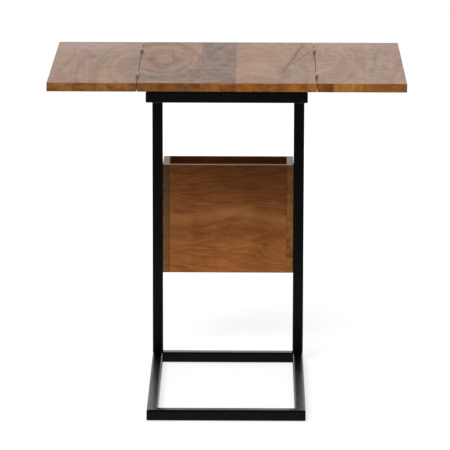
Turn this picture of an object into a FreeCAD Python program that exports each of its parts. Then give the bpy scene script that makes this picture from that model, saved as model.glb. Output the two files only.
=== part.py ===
import FreeCAD, Part
import os

os.makedirs("parts", exist_ok=True)
V = FreeCAD.Vector

# Driving sizes in millimetres. Everything below is worked out from these.

# Steel frame of square tube: base ring, two uprights at the back, top ring
tube = 20.0
tube_wall = 1.5
tube_corner = 3.0
frame_width = 290.0
frame_depth = 445.0
frame_height = 608.0

# Nylon glides pressed into the underside of the base
glide_head_height = 1.5
glide_head_radius = 7.0
glide_stem_radius = 2.5
glide_stem_length = 6.0
glide_inset = 36.0

# Wooden top: a fixed centre panel and two leaves that fold over onto it
top_thickness = 16.0
side_overhang = 16.0
seam_gap = 0.6
folded_meeting_gap = 1.2
upper_edge_easing = 1.0
lower_edge_easing = 2.0
corner_chamfer = 0.8
centre_left_stave_width = 113.0
centre_middle_stave_width = 64.0
left_leaf_inner_stave_width = 73.0
right_leaf_inner_stave_width = 29.5
right_leaf_middle_stave_width = 55.5

# Pan-head screws inside the tubes, driven through access holes in the far wall
screw_radius = 2.0
screw_hole_radius = 2.3
screw_head_radius = 4.0
screw_head_height = 2.4
screw_access_radius = 4.6
screw_bite = 10.0
top_screw_spacing = 270.0

# Butt hinges let into the seam edges, barrels standing above the top
hinge_length = 25.0
hinge_plate_thickness = 1.5
hinge_plate_drop = 12.0
knuckle_radius = 2.9
knuckle_end_gap = 0.3
barrel_lift = 0.4
pin_radius = 1.5
pin_running_clearance = 0.05
pin_end_proud = 0.4
plate_top_step = 0.2
mortise_clearance = 0.15
front_hinge_inset = 70.0
back_hinge_inset = 109.0
hinge_screw_spacing = 15.0
hinge_screw_depth = 6.5
hinge_screw_radius = 1.3
hinge_screw_head_radius = 2.4
hinge_screw_head_height = 1.1
hinge_screw_bite = 12.0

# Magazine rack hung between the uprights
rack_floor_height = 178.5
rack_height = 211.0
rack_depth = 90.0
rack_board = 13.0
rack_back_board = 6.0
rack_bottom_board = 10.0
rack_easing = 1.2
rack_rebate = 6.0
dowel_radius = 2.5
dowel_side_depth = 9.0
dowel_board_depth = 15.0
front_dowel_inset = 25.0
bottom_dowel_inset = 18.0
rack_screw_inset = 52.0

# Levels and lines shared by several pieces
overall_depth = frame_depth - tube + rack_depth
front_y = -overall_depth / 2
back_y = front_y + frame_depth
middle_y = (front_y + back_y) / 2
half_width = frame_width / 2
inner_half_width = half_width - tube
base_z = glide_head_height
frame_top_z = base_z + frame_height
top_z = frame_top_z + top_thickness
centre_half = half_width + side_overhang
centre_line_1 = -centre_half + centre_left_stave_width
centre_line_2 = centre_line_1 + centre_middle_stave_width
leaf_width = centre_half - folded_meeting_gap / 2
leaf_inner_x = centre_half + seam_gap
leaf_outer_x = leaf_inner_x + leaf_width
hinge_x = centre_half + seam_gap / 2
hinge_z = top_z + knuckle_radius + barrel_lift
tolerance = 0.01
LEFT = -1
RIGHT = 1
SIDES = (LEFT, RIGHT)


def box(x0, x1, y0, y1, z0, z1):
    low = V(min(x0, x1), min(y0, y1), min(z0, z1))
    return Part.makeBox(abs(x1 - x0), abs(y1 - y0), abs(z1 - z0), low)


def joined(shapes):
    return shapes[0].fuse(shapes[1:]).removeSplitter()


def along(shape, start, direction):
    # Turns a shape drawn along +Z so that it runs from start in the given direction.
    turned = shape.copy()
    turned.Placement = FreeCAD.Placement(start, FreeCAD.Rotation(V(0, 0, 1), direction))
    return turned


def eased(shape, radius):
    return shape.makeFillet(radius, shape.Edges)


def is_upright(edge):
    return abs(edge.tangentAt(edge.FirstParameter).z) > 0.9


def is_at_z(edge, z):
    return abs(edge.CenterOfMass.z - z) < tolerance


def rounded_bar(size, corner, length):
    bar = box(-size / 2, size / 2, -size / 2, size / 2, 0, length)
    return bar.makeFillet(corner, [e for e in bar.Edges if is_upright(e)])


def square_tube(length):
    outside = rounded_bar(tube, tube_corner, length)
    bore = tube - 2 * tube_wall
    inner_corner = max(tube_corner - tube_wall, tube_wall / 5)
    return outside.cut(rounded_bar(bore, inner_corner, length))


def plan_prism(points, z0, height):
    corners = [V(x, y, z0) for x, y in points]
    outline = Part.makePolygon(corners + corners[:1])
    return Part.Face(outline).extrude(V(0, 0, height))


def ring_rails(z0):
    # Four tubes mitred at the corners, the outer corners dressed round like the tube.
    left, right = -half_width, half_width
    front, back = front_y, back_y
    block = box(left, right, front, back, z0, z0 + tube)
    block = block.makeFillet(tube_corner, [e for e in block.Edges if is_upright(e)])
    half = tube / 2
    mid_z = z0 + half
    across = square_tube(frame_width)
    deep = square_tube(frame_depth)
    bars = {
        "front": along(across, V(left, front + half, mid_z), V(1, 0, 0)),
        "back": along(across, V(left, back - half, mid_z), V(1, 0, 0)),
        "left": along(deep, V(left + half, front, mid_z), V(0, 1, 0)),
        "right": along(deep, V(right - half, front, mid_z), V(0, 1, 0)),
    }
    outer = {"fl": (left, front), "fr": (right, front), "bl": (left, back), "br": (right, back)}
    inner = {
        "fl": (left + tube, front + tube),
        "fr": (right - tube, front + tube),
        "bl": (left + tube, back - tube),
        "br": (right - tube, back - tube),
    }
    ends = {"front": ("fl", "fr"), "back": ("bl", "br"), "left": ("fl", "bl"), "right": ("fr", "br")}
    rails = {}
    for side, (a, b) in ends.items():
        wedge = plan_prism([outer[a], outer[b], inner[b], inner[a]], z0, tube)
        rails[side] = bars[side].common(wedge).common(block)
    return rails


def tube_screw(face, into):
    # A screw whose head sits inside a tube, against the wall that touches the wood at face,
    # and the holes that it needs in the near and the far wall.
    head_start = face - into * (tube_wall + screw_head_height)
    shank_length = screw_head_height + tube_wall + screw_bite
    head = Part.makeCylinder(screw_head_radius, screw_head_height)
    head = head.makeFillet(screw_head_height / 2, [e for e in head.Edges if e.CenterOfMass.z < tolerance])
    shank = Part.makeCylinder(screw_radius, shank_length)
    screw = along(joined([head, shank]), head_start, into)
    near_hole = along(Part.makeCylinder(screw_hole_radius, tube), face - into * tube, into)
    far_hole = along(Part.makeCylinder(screw_access_radius, tube / 2), face - into * tube, into)
    return screw, near_hole.fuse(far_hole)


def only_solid(shape):
    return max(shape.Solids, key=lambda s: s.Volume)


def save(name, shapes):
    solids = [s for shape in shapes for s in shape.Solids]
    whole = solids[0] if len(solids) == 1 else Part.makeCompound(solids)
    whole.exportStep("parts/" + name + ".step")


# Steel frame
base = ring_rails(base_z)
top_ring = ring_rails(frame_top_z - tube)
upright_foot = base_z + tube
upright_length = frame_height - 2 * tube
upright_centre_x = half_width - tube / 2
upright_centre_y = back_y - tube / 2
uprights = {}
for side in SIDES:
    foot = V(side * upright_centre_x, upright_centre_y, upright_foot)
    uprights[side] = along(square_tube(upright_length), foot, V(0, 0, 1))

# Glides: a flat head under the side tubes and a stem through the lower wall
glides = []
for side in SIDES:
    for y in (front_y + glide_inset, back_y - glide_inset):
        foot = V(side * upright_centre_x, y, 0)
        head = Part.makeCylinder(glide_head_radius, glide_head_height, foot)
        stem = Part.makeCylinder(glide_stem_radius, glide_head_height + glide_stem_length, foot)
        glides.append(joined([head, stem]))
        rail = "left" if side == LEFT else "right"
        base[rail] = base[rail].cut(stem)

# Wooden top, each panel eased all round before it is divided into staves


def top_panel(x0, x1):
    # A board of the top between two x lines, its edges rounded and its upright corners taken off.
    panel = box(x0, x1, front_y, back_y, frame_top_z, top_z)
    for z, radius in ((frame_top_z, lower_edge_easing), (top_z, upper_edge_easing)):
        panel = panel.makeFillet(radius, [e for e in panel.Edges if is_at_z(e, z)])
    for x, inward in ((min(x0, x1), 1), (max(x0, x1), -1)):
        for y, backward in ((front_y, 1), (back_y, -1)):
            tip = [(x, y), (x + inward * corner_chamfer, y), (x, y + backward * corner_chamfer)]
            panel = panel.cut(plan_prism(tip, frame_top_z, top_thickness))
    return panel


centre_panel = top_panel(-centre_half, centre_half)
leaves = {side: top_panel(side * leaf_inner_x, side * leaf_outer_x) for side in SIDES}

# Screws up through the top ring into the centre panel
middle_stave_x = centre_line_1 + centre_middle_stave_width / 2
screw_spots = []
for side, rail in ((LEFT, "left"), (RIGHT, "right")):
    for y in (middle_y - top_screw_spacing / 2, middle_y + top_screw_spacing / 2):
        screw_spots.append((rail, side * upright_centre_x, y))
screw_spots.append(("front", middle_stave_x, front_y + tube / 2))
screw_spots.append(("back", middle_stave_x, back_y - tube / 2))
top_screws = []
for rail, x, y in screw_spots:
    screw, clearance = tube_screw(V(x, y, frame_top_z), V(0, 0, 1))
    top_screws.append(screw)
    top_ring[rail] = top_ring[rail].cut(clearance)
    centre_panel = centre_panel.cut(screw)

# Hinges
knuckle_span = (hinge_length - 2 * knuckle_end_gap) / 3
middle_knuckle = (-knuckle_span / 2, knuckle_span / 2)
front_knuckle = (-hinge_length / 2, -hinge_length / 2 + knuckle_span)
back_knuckle = (hinge_length / 2 - knuckle_span, hinge_length / 2)
hinge_lines = {"front": front_y + front_hinge_inset, "back": back_y - back_hinge_inset}
Y_AXIS = V(0, 1, 0)


def hinge_screw(face_x, y, into):
    # A countersunk screw let into a seam edge, its flat head level with the plate.
    z = top_z - hinge_screw_depth
    head = Part.makeCone(hinge_screw_head_radius, hinge_screw_radius, hinge_screw_head_height)
    shank = Part.makeCylinder(hinge_screw_radius, hinge_screw_bite)
    return along(joined([head, shank]), V(face_x, y, z), V(into, 0, 0))


def hinge_plate(face_x, into, middle, spans, bore):
    # The plate in the seam edge with its knuckles rolled up above the top.
    back_x = face_x + into * hinge_plate_thickness
    y0 = middle - hinge_length / 2
    y1 = middle + hinge_length / 2
    plate_top = top_z - plate_top_step
    pieces = [box(face_x, back_x, y0, y1, top_z - hinge_plate_drop, plate_top)]
    axis_x = hinge_x if face_x > 0 else -hinge_x
    for a, b in spans:
        pieces.append(box(face_x, back_x, middle + a, middle + b, plate_top, hinge_z))
        centre = V(axis_x, middle + a, hinge_z)
        pieces.append(Part.makeCylinder(knuckle_radius, b - a, centre, Y_AXIS))
    whole = joined(pieces)
    start = V(axis_x, y0 - pin_end_proud, hinge_z)
    return whole.cut(Part.makeCylinder(bore, hinge_length + 2 * pin_end_proud, start, Y_AXIS))


def mortise(face_x, into, middle):
    half = hinge_length / 2 + mortise_clearance
    floor = top_z - hinge_plate_drop - mortise_clearance
    back_x = face_x + into * hinge_plate_thickness
    return box(face_x, back_x, middle - half, middle + half, floor, top_z)


hinges = {}
fixed_screws = []
leaf_screws = {LEFT: [], RIGHT: []}
for side in SIDES:
    for place, middle in hinge_lines.items():
        fixed_face = side * centre_half
        leaf_face = side * leaf_inner_x
        fixed = hinge_plate(fixed_face, -side, middle, (front_knuckle, back_knuckle), pin_radius)
        loose_bore = pin_radius + pin_running_clearance
        moving = hinge_plate(leaf_face, side, middle, (middle_knuckle,), loose_bore)
        pin_start = V(side * hinge_x, middle - hinge_length / 2 - pin_end_proud, hinge_z)
        pin = Part.makeCylinder(pin_radius, hinge_length + 2 * pin_end_proud, pin_start, Y_AXIS)
        centre_panel = centre_panel.cut(mortise(fixed_face, -side, middle))
        leaves[side] = leaves[side].cut(mortise(leaf_face, side, middle))
        for y in (middle - hinge_screw_spacing / 2, middle + hinge_screw_spacing / 2):
            inward = hinge_screw(fixed_face, y, -side)
            outward = hinge_screw(leaf_face, y, side)
            fixed = fixed.cut(inward)
            moving = moving.cut(outward)
            centre_panel = centre_panel.cut(inward)
            leaves[side] = leaves[side].cut(outward)
            fixed_screws.append(inward)
            leaf_screws[side].append(outward)
        hinges[(side, place)] = (fixed, moving, pin)

# Staves: each panel divided along straight glue lines that run front to back


def divided(panel, lines):
    staves = []
    for a, b in zip(lines[:-1], lines[1:]):
        slice_box = box(a, b, front_y, back_y, frame_top_z, top_z)
        staves.append(only_solid(panel.common(slice_box)))
    return staves


centre_staves = divided(centre_panel, [-centre_half, centre_line_1, centre_line_2, centre_half])
left_line = -leaf_inner_x - left_leaf_inner_stave_width
left_staves = divided(leaves[LEFT], [-leaf_outer_x, left_line, -leaf_inner_x])
right_line_1 = leaf_inner_x + right_leaf_inner_stave_width
right_line_2 = right_line_1 + right_leaf_middle_stave_width
right_staves = divided(leaves[RIGHT], [leaf_inner_x, right_line_1, right_line_2, leaf_outer_x])

# Magazine rack, its front level with the front faces of the uprights
rack_front_y = back_y - tube
rack_back_y = rack_front_y + rack_depth
rack_z = base_z + rack_floor_height
rack_top_z = rack_z + rack_height
side_inner = inner_half_width - rack_board
back_front_y = rack_back_y - rack_back_board
rebate_half = side_inner + rack_rebate
front_inner_y = rack_front_y + rack_board

rack_sides = {}
for side in SIDES:
    board = box(
        side * side_inner, side * inner_half_width, rack_front_y, rack_back_y, rack_z, rack_top_z
    )
    board = eased(board, rack_easing)
    rebate = box(side * side_inner, side * rebate_half, back_front_y, rack_back_y, rack_z, rack_top_z)
    rack_sides[side] = board.cut(rebate)

front_board = box(-side_inner, side_inner, rack_front_y, front_inner_y, rack_z, rack_top_z)
long_edges = [e for e in front_board.Edges if abs(e.tangentAt(e.FirstParameter).x) > 0.9]
rack_front = front_board.makeFillet(rack_easing, long_edges)
rack_back = box(-rebate_half, rebate_half, back_front_y, rack_back_y, rack_z, rack_top_z)
rack_bottom = box(
    -side_inner, side_inner, front_inner_y, back_front_y, rack_z, rack_z + rack_bottom_board
)

# Dowels join the front and the bottom to the sides
dowel_length = dowel_side_depth + dowel_board_depth
front_dowel_y = rack_front_y + rack_board / 2
bottom_dowel_z = rack_z + rack_bottom_board / 2
rack_middle_z = rack_z + rack_height / 2
dowel_spots = [
    (front_dowel_y, rack_z + front_dowel_inset),
    (front_dowel_y, rack_middle_z),
    (front_dowel_y, rack_top_z - front_dowel_inset),
    (front_inner_y + bottom_dowel_inset, bottom_dowel_z),
    (back_front_y - bottom_dowel_inset, bottom_dowel_z),
]
dowels = []
for side in SIDES:
    for y, z in dowel_spots:
        start = V(side * (side_inner + dowel_side_depth), y, z)
        dowel = along(Part.makeCylinder(dowel_radius, dowel_length), start, V(-side, 0, 0))
        dowels.append(dowel)
        rack_sides[side] = rack_sides[side].cut(dowel)
        rack_front = rack_front.cut(dowel)
        rack_bottom = rack_bottom.cut(dowel)

# Screws through the inner walls of the uprights into the sides of the rack
rack_screws = []
for side in SIDES:
    for z in (rack_z + rack_screw_inset, rack_top_z - rack_screw_inset):
        face = V(side * inner_half_width, upright_centre_y, z)
        screw, clearance = tube_screw(face, V(-side, 0, 0))
        rack_screws.append(screw)
        uprights[side] = uprights[side].cut(clearance)
        rack_sides[side] = rack_sides[side].cut(screw)

# One file for each node
for side in ("front", "back", "left", "right"):
    save("base_" + side + "_rail", [base[side]])
    save("top_" + side + "_rail", [top_ring[side]])
save("left_upright", [uprights[LEFT]])
save("right_upright", [uprights[RIGHT]])
save("floor_glides", glides)
save("top_screws", top_screws)
save("centre_left_stave", [centre_staves[0]])
save("centre_middle_stave", [centre_staves[1]])
save("centre_right_stave", [centre_staves[2]])
save("left_leaf_outer_stave", [left_staves[0]])
save("left_leaf_inner_stave", [left_staves[1]])
save("right_leaf_inner_stave", [right_staves[0]])
save("right_leaf_middle_stave", [right_staves[1]])
save("right_leaf_outer_stave", [right_staves[2]])
save("rack_left_side", [rack_sides[LEFT]])
save("rack_right_side", [rack_sides[RIGHT]])
save("rack_front", [rack_front])
save("rack_back", [rack_back])
save("rack_bottom", [rack_bottom])
save("rack_dowels", dowels)
save("rack_screws", rack_screws)
for (side, place), (fixed, moving, pin) in hinges.items():
    label = ("left_" if side == LEFT else "right_") + place
    save(label + "_fixed_plate", [fixed])
    save(label + "_moving_plate", [moving])
    save(label + "_hinge_pin", [pin])
save("fixed_plate_screws", fixed_screws)
save("left_leaf_screws", leaf_screws[LEFT])
save("right_leaf_screws", leaf_screws[RIGHT])
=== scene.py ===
import math
import random
from collections import namedtuple

import bmesh
import bpy
from mathutils import Matrix, Vector


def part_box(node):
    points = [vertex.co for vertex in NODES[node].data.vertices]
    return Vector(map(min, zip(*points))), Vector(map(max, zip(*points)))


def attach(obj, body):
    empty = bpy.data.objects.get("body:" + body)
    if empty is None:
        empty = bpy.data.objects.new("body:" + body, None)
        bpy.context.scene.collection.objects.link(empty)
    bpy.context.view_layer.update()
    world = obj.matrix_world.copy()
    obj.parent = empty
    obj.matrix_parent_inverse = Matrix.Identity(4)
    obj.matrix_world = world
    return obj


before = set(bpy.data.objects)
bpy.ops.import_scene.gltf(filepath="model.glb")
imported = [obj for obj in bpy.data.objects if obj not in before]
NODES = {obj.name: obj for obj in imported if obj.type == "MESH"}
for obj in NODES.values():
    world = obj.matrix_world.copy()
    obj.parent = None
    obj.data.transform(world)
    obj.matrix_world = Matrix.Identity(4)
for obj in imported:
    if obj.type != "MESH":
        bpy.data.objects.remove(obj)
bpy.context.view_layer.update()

# Sizes are in metres, the lens and its sensor in millimetres, angles in degrees,
# and colours as read off a screen, 0 to 255
CAMERA_PLACE = Vector((0.0463, -6.6694, 1.7696))
CAMERA_PITCH = 12.34
CAMERA_YAW = 0.437
CAMERA_ROLL = 0.12
CAMERA_LENS = 291.92
CAMERA_SENSOR = 36.0
CAMERA_FAR = 100.0

FRAME_BODY = "frame"
SIDES = ("left", "right")
LEVELS = ("base", "top")
TAU = 2 * math.pi


# Node trees: short calls that add a node, set it and return its output

# Sockets of the mix node for colours, by number, because its names repeat
MIX_SHARE = 0
MIX_FIRST = 6
MIX_SECOND = 7
MIX_RESULT = 2


def srgb(colour):
    """A screen colour as the linear colour that shaders take."""
    def linear(value):
        value = value / 255
        return value / 12.92 if value <= 0.04045 else ((value + 0.055) / 1.055) ** 2.4
    return tuple(linear(value) for value in colour) + (1.0,)


def grey(level):
    return (level, level, level, 1.0)


def fill(tree, socket, value):
    """Links an output to a socket, or sets the socket to a plain value."""
    if isinstance(value, bpy.types.NodeSocket):
        tree.links.new(value, socket)
    else:
        socket.default_value = value


def put(tree, kind, inputs=None, output=0, **settings):
    node = tree.nodes.new(kind)
    for key, value in settings.items():
        setattr(node, key, value)
    for key, value in (inputs or {}).items():
        fill(tree, node.inputs[key], value)
    return node.outputs[output]


def calc(tree, operation, a, b=0.0, c=0.0, clamp=False):
    return put(tree, "ShaderNodeMath", {0: a, 1: b, 2: c}, operation=operation, use_clamp=clamp)


def vector(tree, x, y, z):
    return put(tree, "ShaderNodeCombineXYZ", {0: x, 1: y, 2: z})


def parted(tree, place):
    """The X, Y and Z outputs of a vector."""
    node = tree.nodes.new("ShaderNodeSeparateXYZ")
    tree.links.new(place, node.inputs[0])
    return node.outputs


def object_place(tree):
    return put(tree, "ShaderNodeTexCoord", output="Object")


def noise(tree, place, scale=1.0, detail=3.0, rough=0.5):
    inputs = {"Vector": place, "Scale": scale, "Detail": detail, "Roughness": rough}
    return put(tree, "ShaderNodeTexNoise", inputs)


def spread(tree, value, low, high, to_low=0.0, to_high=1.0):
    inputs = {"Value": value, "From Min": low, "From Max": high, "To Min": to_low, "To Max": to_high}
    return put(tree, "ShaderNodeMapRange", inputs)


def smooth(tree, value, low, high):
    inputs = {"Value": value, "From Min": low, "From Max": high}
    return put(tree, "ShaderNodeMapRange", inputs, interpolation_type="SMOOTHSTEP")


def mixed(tree, share, first, second):
    inputs = {MIX_SHARE: share, MIX_FIRST: first, MIX_SECOND: second}
    return put(tree, "ShaderNodeMix", inputs, MIX_RESULT, data_type="RGBA")


def tinted(tree, colour, amount, share, tint):
    """A colour moved towards a screen colour, by a share of amount."""
    return mixed(tree, calc(tree, "MULTIPLY", amount, share), colour, srgb(tint))


def hump(tree, value):
    """A smooth rise to 1 where value is 0."""
    return calc(tree, "EXPONENT", calc(tree, "MULTIPLY", calc(tree, "POWER", value, 2), -1.0))


def new_material(name):
    material = bpy.data.materials.new(name)
    material.use_nodes = True
    tree = material.node_tree
    return material, tree, tree.nodes["Principled BSDF"]


def feed(tree, shader, **sockets):
    for key, value in sockets.items():
        fill(tree, shader.inputs[key.replace("_", " ")], value)


def bumped(tree, height, distance):
    return put(tree, "ShaderNodeBump", {"Height": height, "Distance": distance})


# Wood: growth rings round a heart line beside the board, with fibres and pores along it

# The axes along the grain, across the board and through it, for each way the grain can run
GRAIN_AXES = {"X": ("X", "Z", "Y"), "Y": ("Y", "X", "Z")}

# What a board can have: humps in its rings, knots, soft patches of colour, and streaks.
# Places are along and across the board; a streak's start and end are such pairs
Bend = namedtuple("Bend", "along across length width rings")
Knot = namedtuple("Knot", "along across length width")
Patch = namedtuple("Patch", "along across length width strength colour")
Streak = namedtuple("Streak", "start end width wander strength colour")

# How much each pattern darkens a face: ring lines, clouds, fibres, cross shimmer and even rings
Weights = namedtuple("Weights", "lines clouds fibres shimmer comb")
# How strong the pink and the green patches are
Tints = namedtuple("Tints", "pink green")

# Waves a metre along and across the grain, then detail and roughness where they aren't the usual ones
FIBRE_WAVES = (20.0, 190.0, 6.0, 0.76)
CLOUD_WAVES = (4.5, 13.0, 4.0, 0.55)
CURL_WAVES = (34.0, 46.0, 6.0, 0.74)
PORE_WAVES = (60.0, 1400.0, 1.0)
PINK_WAVES = (9.0, 24.0)
GREEN_WAVES = (8.0, 21.0)
GOLD_WAVES = (4.0, 30.0)
COMB_WAVES = (11.0, 30.0, 2.0)
WIDE_SWAY_WAVES = (3.2, 10.0, 2.0)
FINE_SWAY_WAVES = (12.0, 46.0)
WANDER_WAVES = (9.0, 22.0)

# Waves a metre across and through the end grain, the step from one board to the next, and detail
END_PATCH_WAVES = (32.0, 14.0, 1.7, 2.0)
END_RED_WAVES = (44.0, 60.0, 2.9, 3.0)
FLECK_STEP = 2.1
FLECK_DETAIL = 4.0
END_ROUGHNESS = 0.7

# Levels of noise between which a pattern goes from none to full
USUAL_LEVELS = (0.3, 0.7)
LINE_LEVELS = (0.34, 0.66)
CURL_LEVELS = (0.35, 0.65)
PORE_LEVELS = (0.64, 0.76)
PINK_LEVELS = (0.46, 0.68)
GREEN_LEVELS = (0.48, 0.68)
GOLD_LEVELS = (0.5, 0.68)
COMB_LEVELS = (0.36, 0.62)
FLECK_LEVELS = (0.36, 0.64)
RED_LEVELS = (0.45, 0.65)

# The step in the noise from one board to the next, and the ring lines' own
SEED_STEP = 3.7
LINE_STEP = 1.3
LINE_DETAIL = 4.0
LINE_ROUGHNESS = 0.72
# How far the rings wander, in wide and in fine waves
WIDE_SWAY = 0.026
FINE_SWAY = 0.006
# How squarely a face has to look along the grain to show end grain, from none to full
END_TURN = (0.35, 0.8)
# The share of its length in which a streak fades out, and how much rougher a full streak is
STREAK_FADE = 0.15
STREAK_DULLING = 0.1
# How many times its own size a knot bends the rings, and by how many rings
KNOT_REACH = 3
KNOT_RINGS = 1.5
# How strongly knots, pores and the red of the end grain tint the wood
KNOT_SHARE = 0.7
PORE_SHARE = 0.4
RUSSET_SHARE = 0.35
# How much flecks, ring lines and patches darken the end grain, and how dark it is at least
END_FLECK_SHARE = 0.55
END_LINE_SHARE = 0.22
END_PATCH_SHARE = 0.24
END_LEAST = 0.03
# What pores, fibres and ring lines add to the surface's height, and the height that 1 stands for
PORE_RISE = -0.8
FIBRE_RISE = 0.4
LINE_RISE = 0.6
WOOD_RELIEF = 0.00003
WOOD_IOR = 1.22
# How dark the figure is where the lacquer is smoothest, and where it is roughest
SHEEN_TONES = (0.1, 0.8)

BLUSH = (138, 78, 58)
MOSS = (116, 92, 52)
GILT = (196, 136, 66)
RUSSET = (164, 88, 38)
KNOT_BROWN = (124, 54, 34)
PORE_BROWN = (50, 28, 14)


class Board:
    """Places in one board: along its grain, across it and through it."""

    def __init__(self, tree, grain, seed):
        self.tree = tree
        self.seed = seed
        place = parted(tree, object_place(tree))
        self.along, self.across, self.through = (place[axis] for axis in GRAIN_AXES[grain])
        self.shifted = calc(tree, "ADD", self.along, seed * SEED_STEP)
        facing = parted(tree, put(tree, "ShaderNodeTexCoord", output="Normal"))
        self.end = smooth(tree, calc(tree, "ABSOLUTE", facing[grain]), *END_TURN)

    def noise(self, along_waves, cross_waves, detail=3.0, rough=0.5):
        """Noise drawn out along the grain, with so many waves a metre each way."""
        tree = self.tree
        x = calc(tree, "MULTIPLY", self.shifted, along_waves)
        y = calc(tree, "MULTIPLY", self.across, cross_waves)
        z = calc(tree, "MULTIPLY", self.through, cross_waves)
        return noise(tree, vector(tree, x, y, z), 1.0, detail, rough)

    def end_noise(self, across_waves, through_waves, step, detail):
        """Noise on the end grain, with so many waves a metre each way."""
        tree = self.tree
        x = calc(tree, "MULTIPLY", self.across, across_waves)
        y = calc(tree, "MULTIPLY", self.through, through_waves)
        return noise(tree, vector(tree, x, y, self.seed * step), 1.0, detail, END_ROUGHNESS)

    def oval(self, spot):
        """A soft oval, 1 in the middle of a bend, knot or patch."""
        tree = self.tree
        a = calc(tree, "DIVIDE", calc(tree, "SUBTRACT", self.along, spot.along), spot.length)
        b = calc(tree, "DIVIDE", calc(tree, "SUBTRACT", self.across, spot.across), spot.width)
        return calc(tree, "MULTIPLY", hump(tree, a), hump(tree, b))

    def line(self, streak):
        """A soft line along a streak, which wanders sideways and fades out at both ends."""
        tree = self.tree
        start_along, start_across = streak.start
        end_along, end_across = streak.end
        share = spread(tree, self.along, start_along, end_along)
        middle = spread(tree, self.along, start_along, end_along, start_across, end_across)
        off = calc(tree, "SUBTRACT", self.across, middle)
        drift = calc(tree, "SUBTRACT", self.noise(*WANDER_WAVES), 0.5)
        off = calc(tree, "MULTIPLY_ADD", drift, streak.wander, off)
        line = hump(tree, calc(tree, "DIVIDE", off, streak.width))
        line = calc(tree, "MULTIPLY", line, smooth(tree, share, 0.0, STREAK_FADE))
        return calc(tree, "MULTIPLY", line, smooth(tree, share, 1.0, 1.0 - STREAK_FADE))

    def rings(self, heart, bow, taper, ring, sway, bends):
        """
        Ring count from the heart outwards.

        heart: the heart line's place along, across and through the board; bow: how fast that line
        leaves the face along the grain, which closes the rings to ovals; taper: how fast they climb;
        ring: how thick one is; sway: how far they wander; bends: humps in them.
        """
        tree = self.tree
        run = calc(tree, "SUBTRACT", self.along, heart[0])
        side = calc(tree, "SUBTRACT", self.across, heart[1])
        depth = calc(tree, "SUBTRACT", self.through, heart[2])
        squares = calc(tree, "ADD", calc(tree, "POWER", side, 2), calc(tree, "POWER", depth, 2))
        squares = calc(tree, "MULTIPLY_ADD", calc(tree, "POWER", run, 2), bow * bow, squares)
        reach = calc(tree, "MULTIPLY_ADD", run, taper, calc(tree, "SQRT", squares))
        reach = calc(tree, "MULTIPLY_ADD", self.noise(*WIDE_SWAY_WAVES), WIDE_SWAY * sway, reach)
        reach = calc(tree, "MULTIPLY_ADD", self.noise(*FINE_SWAY_WAVES), FINE_SWAY * sway, reach)
        count = calc(tree, "DIVIDE", reach, ring)
        for bend in bends:
            count = calc(tree, "MULTIPLY_ADD", self.oval(bend), bend.rings, count)
        return count

    def lines(self, count, run):
        """Irregular dark and light lines that follow the rings, with run waves a metre along them."""
        tree = self.tree
        slow = calc(tree, "MULTIPLY", self.shifted, run)
        place = vector(tree, count, slow, self.seed * LINE_STEP)
        return noise(tree, place, 1.0, LINE_DETAIL, LINE_ROUGHNESS)

    def comb(self, count):
        """Even growth lines, one to a ring, from -1 to 1, fading out in places."""
        tree = self.tree
        wave = calc(tree, "SINE", calc(tree, "MULTIPLY", count, TAU))
        return calc(tree, "MULTIPLY", wave, smooth(tree, self.noise(*COMB_WAVES), *COMB_LEVELS))


def long_face(board, lines, comb, fibre, face, weights, tints):
    """Colour of a board's faces along the grain, and how dark its figure is, from 0 to 1."""
    tree = board.tree
    light, dark = face
    cloud = smooth(tree, board.noise(*CLOUD_WAVES), *USUAL_LEVELS)
    curl = spread(tree, board.noise(*CURL_WAVES), *CURL_LEVELS, -0.5, 0.5)
    tone = calc(tree, "MULTIPLY", smooth(tree, lines, *LINE_LEVELS), weights.lines)
    tone = calc(tree, "MULTIPLY_ADD", cloud, weights.clouds, tone)
    tone = calc(tree, "MULTIPLY_ADD", spread(tree, fibre, *USUAL_LEVELS), weights.fibres, tone)
    tone = calc(tree, "MULTIPLY_ADD", curl, weights.shimmer, tone)
    tone = calc(tree, "MULTIPLY_ADD", comb, weights.comb, tone, clamp=True)
    colour = mixed(tree, tone, srgb(light), srgb(dark))
    pink = smooth(tree, board.noise(*PINK_WAVES), *PINK_LEVELS)
    green = smooth(tree, board.noise(*GREEN_WAVES), *GREEN_LEVELS)
    colour = tinted(tree, colour, pink, tints.pink, BLUSH)
    colour = tinted(tree, colour, green, tints.green, MOSS)
    return colour, tone


def end_grain(board, lines, end, gold, flecks):
    """Colour of a board's sawn ends: small flecks, ring lines, patches and pale gold."""
    tree = board.tree
    light, dark = end
    fleck = spread(tree, board.end_noise(*flecks, FLECK_STEP, FLECK_DETAIL), *FLECK_LEVELS)
    patch = smooth(tree, board.end_noise(*END_PATCH_WAVES), *LINE_LEVELS)
    red = smooth(tree, board.end_noise(*END_RED_WAVES), *RED_LEVELS)
    pale = smooth(tree, board.noise(*GOLD_WAVES), *GOLD_LEVELS)
    tone = calc(tree, "MULTIPLY_ADD", fleck, END_FLECK_SHARE, END_LEAST)
    tone = calc(tree, "MULTIPLY_ADD", spread(tree, lines, *LINE_LEVELS), END_LINE_SHARE, tone)
    tone = calc(tree, "MULTIPLY_ADD", patch, END_PATCH_SHARE, tone, clamp=True)
    colour = mixed(tree, tone, srgb(light), srgb(dark))
    colour = tinted(tree, colour, red, RUSSET_SHARE, RUSSET)
    return tinted(tree, colour, pale, gold, GILT)


def spotted(board, colour, patches, knots):
    """A colour with a board's patches and knots on it."""
    tree = board.tree
    for patch in patches:
        colour = tinted(tree, colour, board.oval(patch), patch.strength, patch.colour)
    for knot in knots:
        colour = tinted(tree, colour, board.oval(knot), KNOT_SHARE, KNOT_BROWN)
    return colour


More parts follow.
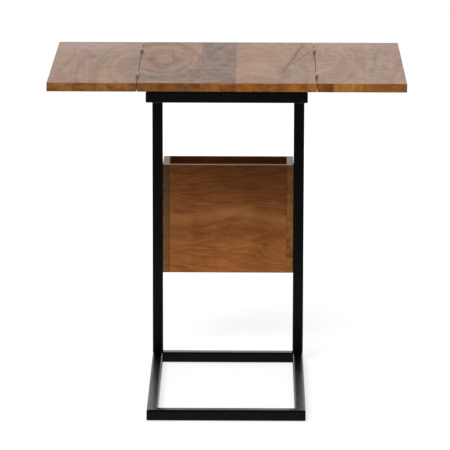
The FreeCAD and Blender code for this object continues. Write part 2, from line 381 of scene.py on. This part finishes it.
def streaked(board, colour, streaks):
    """A colour with a board's streaks on it, and how much they dull the lacquer."""
    tree = board.tree
    dull = 0.0
    for streak in streaks:
        line = board.line(streak)
        colour = tinted(tree, colour, line, streak.strength, streak.colour)
        dull = calc(tree, "MULTIPLY_ADD", line, streak.strength, dull)
    return colour, dull


def wood_height(tree, pores, fibre, lines):
    height = calc(tree, "MULTIPLY_ADD", pores, PORE_RISE, calc(tree, "MULTIPLY", fibre, FIBRE_RISE))
    return calc(tree, "MULTIPLY_ADD", lines, LINE_RISE, height)


def knot_bend(knot):
    """The hump that a knot makes in the rings round it."""
    return Bend(knot.along, knot.across, knot.length * KNOT_REACH, knot.width * KNOT_REACH, KNOT_RINGS)


def mango(name, seed, grain="Y",
          heart=(0.0, 0.0, 0.5), bow=0.0, taper=0.05, ring=0.012, sway=1.0, bends=(), run=3.5,
          face=((150, 100, 56), (92, 56, 28)), weights=Weights(0.45, 0.2, 0.32, 0.32, 0.08),
          tints=Tints(0.28, 0.4), knots=(), patches=(), streaks=(),
          end=((168, 112, 58), (84, 50, 24)), gold=0.4, flecks=(90.0, 130.0),
          sheen=(0.41, 0.46), ior=WOOD_IOR):
    """
    One board of lacquered mango wood.

    heart, bow, taper, ring, sway, bends: the growth rings, as Board.rings takes them; run: how broken
    their lines are, as Board.lines takes it; face, end: light and dark colours of the long faces and
    of the end grain; gold: how much of the end grain is pale; flecks: waves a metre in it, across and
    through; sheen: roughness where the figure is lightest and where it is darkest.
    """
    material, tree, shader = new_material(name)
    board = Board(tree, grain, seed)
    knot_bends = [knot_bend(knot) for knot in knots]
    count = board.rings(heart, bow, taper, ring, sway, [*bends, *knot_bends])
    lines = board.lines(count, run)
    fibre = board.noise(*FIBRE_WAVES)
    pores = smooth(tree, board.noise(*PORE_WAVES), *PORE_LEVELS)

    colour, tone = long_face(board, lines, board.comb(count), fibre, face, weights, tints)
    colour = spotted(board, colour, patches, knots)
    colour = mixed(tree, board.end, colour, end_grain(board, lines, end, gold, flecks))
    colour, dull = streaked(board, colour, streaks)
    colour = tinted(tree, colour, pores, PORE_SHARE, PORE_BROWN)

    gloss = calc(tree, "MULTIPLY_ADD", dull, STREAK_DULLING, spread(tree, tone, *SHEEN_TONES, *sheen))
    height = wood_height(tree, pores, fibre, lines)
    feed(tree, shader, Base_Color=colour, Roughness=gloss, IOR=ior)
    feed(tree, shader, Normal=bumped(tree, height, WOOD_RELIEF))
    return material


# Metal and plastic: waves a metre, levels of noise, roughness and relief

COAT_PATCHES = 14.0
COAT_PEEL = 160.0
COAT_GRIT = 1400.0
PEEL_SHARE = 1.5
COAT_LEVELS = (0.3, 0.75)
COAT_BLACK = (4, 4, 4)
COAT_DUST = (9, 9, 10)
COAT_ROUGHNESS = (0.2, 0.27)
COAT_IOR = 1.185
COAT_RELIEF = 0.00002
PLATE_PATCHES = 220.0
TARNISH_LEVELS = (0.35, 0.7)
TARNISH_ROUGHNESS = 0.15
SCRATCH_WAVES = (300, 6000, 300)
SCRATCH_ROUGHNESS = 0.12
PLATE_RELIEF = 0.00002
NYLON_GRIT = 900.0
NYLON_DARK = (24, 24, 25)
NYLON_LIGHT = (40, 39, 38)
NYLON_ROUGHNESS = (0.5, 0.7)
NYLON_RELIEF = 0.00004


def powder_coat():
    """Black powder coat: a fine orange peel, satin, with faint dust-grey patches."""
    material, tree, shader = new_material("black_powder_coat")
    here = object_place(tree)
    patch = noise(tree, here, COAT_PATCHES)
    peel = noise(tree, here, COAT_PEEL, 2.0)
    height = calc(tree, "MULTIPLY_ADD", peel, PEEL_SHARE, noise(tree, here, COAT_GRIT, 2.0))
    colour = mixed(tree, spread(tree, patch, *COAT_LEVELS), srgb(COAT_BLACK), srgb(COAT_DUST))
    gloss = spread(tree, patch, *USUAL_LEVELS, *COAT_ROUGHNESS)
    feed(tree, shader, Base_Color=colour, Roughness=gloss, IOR=COAT_IOR)
    feed(tree, shader, Normal=bumped(tree, height, COAT_RELIEF))
    return material


def plated(name, bright, dull, rough, metal):
    """Plated steel with rubbed and tarnished patches and fine scratches; metal: how clean it is."""
    material, tree, shader = new_material(name)
    here = object_place(tree)
    patch = noise(tree, here, PLATE_PATCHES, 4.0, 0.6)
    stretched = put(tree, "ShaderNodeMapping", {"Vector": here, "Scale": SCRATCH_WAVES})
    scratch = noise(tree, stretched, 1.0, 2.0)
    colour = mixed(tree, spread(tree, patch, *TARNISH_LEVELS), srgb(bright), srgb(dull))
    worn = spread(tree, patch, *USUAL_LEVELS, rough, rough + TARNISH_ROUGHNESS)
    gloss = calc(tree, "MULTIPLY_ADD", scratch, SCRATCH_ROUGHNESS, worn)
    feed(tree, shader, Base_Color=colour, Metallic=metal, Roughness=gloss)
    feed(tree, shader, Normal=bumped(tree, scratch, PLATE_RELIEF))
    return material


def nylon():
    material, tree, shader = new_material("glide_nylon")
    grit = noise(tree, object_place(tree), NYLON_GRIT)
    colour = mixed(tree, spread(tree, grit, *TARNISH_LEVELS), srgb(NYLON_DARK), srgb(NYLON_LIGHT))
    feed(tree, shader, Base_Color=colour, Roughness=spread(tree, grit, *USUAL_LEVELS, *NYLON_ROUGHNESS))
    feed(tree, shader, Normal=bumped(tree, grit, NYLON_RELIEF))
    return material


def dress(material, *names):
    for name in names:
        slots = NODES[name].data.materials
        slots.clear()
        slots.append(material)


# Boards of the top, from left to right, with their grain front to back.
# Staves that look alike in the photograph share their rings
top_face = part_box("centre_left_stave")[1].z


def below(along, across, depth):
    """A place for a heart line, so deep under the top."""
    return (along, across, top_face - depth)


SPALT = (108, 55, 22)
TOP_TINTS = Tints(0.36, 0.5)
LEAF_WEIGHTS = Weights(0.46, 0.14, 0.3, 0.6, 0.07)
LEAF = dict(sway=1.5, weights=LEAF_WEIGHTS, tints=TOP_TINTS)
# Pale, greyish patches at the far ends of the leaves: painted sheen, standing in for the stronger
# reflection of the lacquer there
LEFT_PAINTED_SHEEN = Patch(0.15, -0.26, 0.07, 0.11, 0.38, (188, 158, 146))
RIGHT_PAINTED_SHEEN = Patch(0.17, 0.24, 0.07, 0.14, 0.36, (186, 150, 130))
LEFT_LEAF = dict(LEAF, seed=2, heart=below(-0.05, -0.14, 0.0355), bow=0.25)
RIGHT_LEAF = dict(LEAF, bow=0.2, patches=[RIGHT_PAINTED_SHEEN], sheen=(0.385, 0.46))
RIGHT_PAIR = dict(
    RIGHT_LEAF, seed=6, heart=below(0.1, 0.15, 0.0455), face=((154, 104, 55), (113, 71, 36)))

TOP_BOARDS = {
    "left_leaf_outer_stave": dict(
        LEFT_LEAF, knots=[Knot(0.028, -0.254, 0.014, 0.007)], patches=[LEFT_PAINTED_SHEEN],
        face=((145, 98, 52), (104, 64, 30)), end=((152, 100, 54), (80, 49, 25)), gold=0.25),
    "left_leaf_inner_stave": dict(
        LEFT_LEAF, face=((145, 98, 50), (104, 64, 29)), gold=0.3,
        streaks=[Streak((-0.135, -0.245), (-0.04, -0.185), 0.005, 0.012, 0.4, SPALT)],
        patches=[Patch(-0.175, -0.222, 0.08, 0.016, 0.3, (176, 124, 62)), LEFT_PAINTED_SHEEN]),
    "centre_left_stave": dict(
        seed=3, heart=below(-0.004, -0.119, 0.0), bow=0.34, taper=0.0, ring=0.015,
        weights=Weights(0.46, 0.12, 0.36, 0.5, 0.15), tints=TOP_TINTS,
        patches=[Patch(-0.17, -0.10, 0.065, 0.07, 0.6, (54, 28, 20)),
                 Patch(0.14, -0.10, 0.06, 0.07, 0.4, (162, 115, 74))],
        face=((152, 96, 45), (90, 51, 18)), sheen=(0.37, 0.465), ior=1.17,
        end=((136, 91, 52), (74, 47, 25)), gold=0.15),
    "centre_middle_stave": dict(
        seed=4, heart=below(0.3, 0.02, 0.0655), bow=0.2, weights=Weights(0.32, 0.12, 0.4, 0.9, 0.1),
        patches=[Patch(-0.17, 0.0, 0.07, 0.05, 0.25, (104, 94, 82)),
                 Patch(0.17, 0.0, 0.07, 0.05, 0.25, (112, 100, 86))],
        face=((123, 86, 60), (77, 54, 40)), sheen=(0.455, 0.52),
        end=((160, 98, 46), (86, 50, 22)), gold=0.35),
    "centre_right_stave": dict(
        seed=5, heart=below(-0.1, 0.05, 0.0555), bow=0.2, knots=[Knot(0.036, 0.061, 0.012, 0.005)],
        streaks=[Streak((-0.16, 0.099), (0.187, 0.145), 0.0036, 0.008, 0.75, SPALT),
                 Streak((-0.08, 0.113), (0.105, 0.159), 0.0034, 0.008, 0.5, SPALT)],
        # The last patch, a paler far end, is partly the board's own tone and partly painted sheen, like the
        # leaves' pale ends
        patches=[Patch(-0.05, 0.06, 0.12, 0.036, 0.35, (186, 124, 58)),
                 Patch(-0.15, 0.132, 0.07, 0.026, 0.4, (112, 96, 66)),
                 Patch(0.16, 0.09, 0.07, 0.08, 0.4, (180, 132, 72))],
        weights=Weights(0.46, 0.12, 0.36, 0.6, 0.08), tints=TOP_TINTS,
        face=((150, 97, 46), (102, 63, 29)), sheen=(0.405, 0.455),
        end=((176, 112, 50), (94, 55, 22)), gold=0.25),
    "right_leaf_inner_stave": dict(RIGHT_PAIR, end=((140, 82, 36), (88, 49, 21)), gold=0.1),
    "right_leaf_middle_stave": dict(
        RIGHT_PAIR, end=((190, 134, 68), (116, 72, 32)), flecks=(210.0, 26.0), gold=0.3),
    "right_leaf_outer_stave": dict(
        RIGHT_LEAF, seed=8, heart=below(-0.1, 0.34, 0.0355), face=((154, 105, 58), (112, 70, 38)),
        end=((172, 112, 58), (110, 67, 32)), gold=0.1),
}

# Boards of the rack, with their grain level. Its two sides show their end grain at the front,
# with a faint dark joint beside the front board
JOINT = (40, 24, 14)
JOINT_INSET = 0.0004
JOINT_WIDTH = 0.0009
PALE_RING = (214, 148, 90)
RACK_IOR = 1.12


def joint_line(x, strength):
    """A straight streak front to back, longer than any board."""
    return Streak((-1, x), (1, x), JOINT_WIDTH, 0.0, strength, JOINT)


left_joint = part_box("rack_left_side")[1].x - JOINT_INSET
right_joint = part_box("rack_right_side")[0].x + JOINT_INSET

RACK_BOARDS = {
    "rack_front": dict(
        seed=23, grain="X", heart=(0.02, 0.262, 0.10), bow=0.13, taper=0.0, ring=0.0045, sway=2.4, run=16.0,
        bends=[Bend(0.03, 0.305, 0.06, 0.016, -1.2), Bend(0.03, 0.215, 0.07, 0.022, 1.0)],
        face=((201, 127, 69), (125, 70, 35)), weights=Weights(0.42, 0.12, 0.32, 0.22, 0.11),
        tints=Tints(0.12, 0.1), ior=RACK_IOR,
        # Its patch, a darker band along the top of the board, is painted shadow of the table top
        patches=[Patch(0.05, 0.35, 0.10, 0.034, 0.24, (112, 56, 18))],
        streaks=[Streak((-0.16, 0.263), (0.16, 0.259), 0.010, 0.008, 0.25, (116, 60, 40)),
                 Streak((-0.14, 0.28), (0.06, 0.307), 0.009, 0.01, 0.4, PALE_RING),
                 Streak((-0.04, 0.307), (0.14, 0.279), 0.009, 0.01, 0.45, PALE_RING)]),
    # The back board's colours are lighter than the front board's to make up for the shade inside the rack,
    # and its pale band along the top is a painted pool of light: both are painted light
    "rack_back": dict(
        seed=12, grain="X", heart=(0.1, 0.30, 0.28), bow=0.2, face=((212, 148, 96), (132, 86, 54)),
        patches=[Patch(0.0, 0.372, 0.25, 0.018, 0.4, (240, 200, 164))], ior=RACK_IOR),
    "rack_bottom": dict(seed=13, grain="X", heart=(0.0, 0.18, 0.10)),
    "rack_left_side": dict(
        seed=14, heart=(0.2, -0.2, 0.28), bow=0.2, end=((149, 109, 70), (103, 74, 46)), gold=0.0,
        streaks=[joint_line(left_joint, 0.25)]),
    "rack_right_side": dict(
        seed=15, heart=(0.2, 0.2, 0.28), bow=0.2, end=((208, 144, 80), (118, 72, 36)), gold=0.4,
        streaks=[joint_line(right_joint, 0.15)]),
}
for board_name, cut in {**TOP_BOARDS, **RACK_BOARDS}.items():
    dress(mango("mango_" + board_name, **cut), board_name)
dress(mango("dowel_beech", 21, grain="X", face=((196, 158, 112), (160, 120, 80))), "rack_dowels")

# Steel, hinges, screws and glides
RAIL_SIDES = ("front", "back", "left", "right")
HINGE_PLACES = ("front", "back")
HINGE_PARTS = ("fixed_plate", "moving_plate", "hinge_pin")
SCREWS = ("top_screws", "rack_screws", "fixed_plate_screws", "left_leaf_screws", "right_leaf_screws")

uprights = [f"{side}_upright" for side in SIDES]
rails = [f"{level}_{side}_rail" for level in LEVELS for side in RAIL_SIDES]
hinges = [f"{side}_{place}" for side in SIDES for place in HINGE_PLACES]
hinge_pieces = [f"{hinge}_{part}" for hinge in hinges for part in HINGE_PARTS]

black = powder_coat()
dress(black, *uprights, *rails)
dress(nylon(), "floor_glides")
nickel = plated("dull_nickel", bright=(178, 160, 148), dull=(122, 104, 92), rough=0.5, metal=0.25)
dress(nickel, *hinge_pieces)
zinc = plated("zinc_screw", bright=(176, 170, 158), dull=(140, 132, 120), rough=0.28, metal=1.0)
dress(zinc, *SCREWS)


# Welds: small ripples of painted weld metal in the inner corners of the steel

WELD_RADIUS = 0.0011
WELD_INSET = 0.0035
WELD_CORNERS = 8
WELD_SEEDS = {"left": 39, "right": 41, "base": 54, "top": 53}
LEAST_STEPS = 6
# In radii: the length of one step along a bead, how far its ripples swell, and how much they vary
WELD_STEP = 0.55
RIPPLE_SWELL = 0.16
RIPPLE_CHANCE = 0.07
# How far the ripples turn, in radians, along one radius
RIPPLE_RATE = 2.2
# How thick a bead is at its ends, as a share, and how fast it grows from there
WELD_TIP = 0.35
WELD_GROWTH = 5


def weld_line(mesh, start, end, facing, rng):
    """A rippled bead from start to end, its round side towards facing."""
    run = end - start
    up = facing.normalized()
    side = run.normalized().cross(up)
    steps = max(LEAST_STEPS, int(run.length / (WELD_RADIUS * WELD_STEP)))
    previous = None
    for step in range(steps + 1):
        share = step / steps
        ripple = math.sin(share * run.length / WELD_RADIUS * RIPPLE_RATE)
        swell = 1.0 + RIPPLE_SWELL * ripple + rng.uniform(-RIPPLE_CHANCE, RIPPLE_CHANCE)
        taper = min(1.0, WELD_TIP + WELD_GROWTH * min(share, 1 - share))
        size = WELD_RADIUS * swell * taper
        centre = start + run * share
        loop = []
        for corner in range(WELD_CORNERS):
            turn = TAU * corner / WELD_CORNERS
            place = centre + up * (math.cos(turn) * size) + side * (math.sin(turn) * size)
            loop.append(mesh.verts.new(place))
        if previous:
            for corner in range(WELD_CORNERS):
                after = (corner + 1) % WELD_CORNERS
                mesh.faces.new((previous[corner], previous[after], loop[after], loop[corner]))
        else:
            mesh.faces.new(loop)
        previous = loop
    mesh.faces.new(reversed(previous))


def make_welds(name, lines, seed):
    """One piece of black weld beads, along lines given as (start, end, facing)."""
    mesh = bmesh.new()
    rng = random.Random(seed)
    for start, end, facing in lines:
        weld_line(mesh, Vector(start), Vector(end), Vector(facing), rng)
    bmesh.ops.recalc_face_normals(mesh, faces=mesh.faces)
    data = bpy.data.meshes.new(name)
    mesh.to_mesh(data)
    mesh.free()
    for face in data.polygons:
        face.use_smooth = True
    data.materials.append(black)
    piece = bpy.data.objects.new(name, data)
    bpy.context.scene.collection.objects.link(piece)
    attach(piece, FRAME_BODY)


def upright_welds(side, sign):
    """Beads at both ends of an upright, on its front and inner faces."""
    low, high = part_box(side + "_upright")
    inner_x = high.x if sign < 0 else low.x
    outer_x = low.x if sign < 0 else high.x
    x0, x1 = sorted((inner_x + sign * WELD_INSET, outer_x - sign * WELD_INSET))
    y0, y1 = low.y + WELD_INSET, high.y - WELD_INSET
    lines = []
    for z, up in ((low.z, 1), (high.z, -1)):
        lines.append(((x0, low.y, z), (x1, low.y, z), (0, -1, up)))
        lines.append(((inner_x, y0, z), (inner_x, y1, z), (-sign, 0, up)))
    make_welds(side + "_upright_welds", lines, WELD_SEEDS[side])


def corner_welds(level):
    """Upright beads in the four inner corners of a ring of rails."""
    low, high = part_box(level + "_left_rail")
    right_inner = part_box(level + "_right_rail")[0].x
    inner_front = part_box(level + "_front_rail")[1].y
    inner_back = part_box(level + "_back_rail")[0].y
    z0, z1 = low.z + WELD_INSET, high.z - WELD_INSET
    lines = []
    for x, sign in ((high.x, 1), (right_inner, -1)):
        for y, back in ((inner_front, 1), (inner_back, -1)):
            lines.append(((x, y, z0), (x, y, z1), (sign, back, 0)))
    make_welds(level + "_corner_welds", lines, WELD_SEEDS[level])


for side, sign in zip(SIDES, (-1, 1)):
    upright_welds(side, sign)
for level in LEVELS:
    corner_welds(level)


# Studio: a white floor and surround, soft lamps, and the photograph's camera

FLOOR_SIZE = 30
FLOOR_ROUGHNESS = 0.9
# Distances from the middle between which the floor's glow changes
FLOOR_REACH = (0.3, 1.1)
# Places in front of the table between which gloss mirrors the floor less, and how much it still does
FLOOR_FRONT = (-0.9, -0.3)
FRONT_MIRROR = 0.4
# Directions, from front to back, between which the surround's reflection changes
WORLD_TURN = (-0.6, 0.8)


def white_floor(albedo, near_glow, far_glow):
    """A floor that looks white and still takes a faint shadow; gloss mirrors it less far in front."""
    bpy.ops.mesh.primitive_plane_add(size=FLOOR_SIZE, location=(0, 0, 0))
    floor = bpy.context.object
    floor.name = "floor"
    material, tree, shader = new_material("white_floor")
    rays = tree.nodes.new("ShaderNodeLightPath").outputs
    here = object_place(tree)
    mirror = spread(tree, parted(tree, here)["Y"], *FLOOR_FRONT, FRONT_MIRROR, 1.0)
    shiny = calc(tree, "MAXIMUM", rays["Is Glossy Ray"], rays["Is Transmission Ray"])
    seen = calc(tree, "MAXIMUM", rays["Is Camera Ray"], calc(tree, "MULTIPLY", shiny, mirror))
    away = put(tree, "ShaderNodeVectorMath", {0: here}, "Value", operation="LENGTH")
    glow = calc(tree, "MULTIPLY", seen, spread(tree, away, *FLOOR_REACH, near_glow, far_glow))
    hidden = calc(tree, "MULTIPLY", shiny, spread(tree, mirror, FRONT_MIRROR, 1.0, 1.0, 0.0))
    colour = mixed(tree, hidden, grey(albedo), grey(albedo * FRONT_MIRROR))
    feed(tree, shader, Base_Color=colour, Roughness=FLOOR_ROUGHNESS, Specular_IOR_Level=0.0)
    feed(tree, shader, Emission_Color=grey(1.0), Emission_Strength=glow)
    floor.data.materials.append(material)


def white_world(ambient, front_gloss, back_gloss):
    """Soft ambient light, white to the camera; reflections run from dim in front to white behind."""
    world = bpy.data.worlds.new("studio")
    bpy.context.scene.world = world
    world.use_nodes = True
    tree = world.node_tree
    background = tree.nodes["Background"]
    rays = tree.nodes.new("ShaderNodeLightPath").outputs
    toward = parted(tree, put(tree, "ShaderNodeTexCoord", output="Generated"))
    gloss = spread(tree, toward["Y"], *WORLD_TURN, front_gloss, back_gloss)
    shiny = calc(tree, "MAXIMUM", rays["Is Glossy Ray"], rays["Is Transmission Ray"])
    strength = calc(tree, "MULTIPLY_ADD", shiny, calc(tree, "SUBTRACT", gloss, ambient), ambient)
    unseen = calc(tree, "SUBTRACT", 1.0, rays["Is Camera Ray"])
    strength = calc(tree, "MULTIPLY_ADD", unseen, strength, rays["Is Camera Ray"])
    feed(tree, background, Color=grey(1.0), Strength=strength)


def soft_lamp(name, place, target, size, radiance, mirrored=True):
    """A softbox that faces target, as bright as white times radiance; gloss shows it if mirrored."""
    data = bpy.data.lights.new(name, "AREA")
    data.shape = "RECTANGLE"
    data.size, data.size_y = size
    data.energy = math.pi * size[0] * size[1] * radiance
    lamp = bpy.data.objects.new(name, data)
    lamp.location = place
    lamp.rotation_euler = (Vector(target) - Vector(place)).to_track_quat("-Z", "Y").to_euler()
    lamp.visible_camera = False
    lamp.visible_glossy = mirrored
    bpy.context.scene.collection.objects.link(lamp)


def photo_camera():
    data = bpy.data.cameras.new("photo_camera")
    data.sensor_width = CAMERA_SENSOR
    data.lens = CAMERA_LENS
    data.clip_end = CAMERA_FAR
    camera = bpy.data.objects.new("photo_camera", data)
    turn = Matrix.Rotation(math.radians(CAMERA_YAW), 4, "Z")
    turn = turn @ Matrix.Rotation(math.radians(90 - CAMERA_PITCH), 4, "X")
    turn = turn @ Matrix.Rotation(math.radians(CAMERA_ROLL), 4, "Z")
    camera.matrix_world = Matrix.Translation(CAMERA_PLACE) @ turn
    bpy.context.scene.collection.objects.link(camera)
    bpy.context.scene.camera = camera


bpy.context.scene.view_settings.view_transform = "Standard"
white_floor(albedo=0.5, near_glow=0.72, far_glow=0.95)
white_world(ambient=0.07, front_gloss=0.12, back_gloss=1.0)
soft_lamp("key", place=(-0.7, -2.52, 2.34), target=(0, -0.1, 0.42), size=(1.8, 1.05), radiance=14.2,
          mirrored=False)
soft_lamp("overhead", place=(0.2, 0.4, 2.7), target=(0, 0, 0.6), size=(2.4, 2.0), radiance=0.75)
soft_lamp("back_wall", place=(0.0, 2.6, 1.7), target=(0, 0, 0.9), size=(4.4, 2.2), radiance=0.78)
photo_camera()
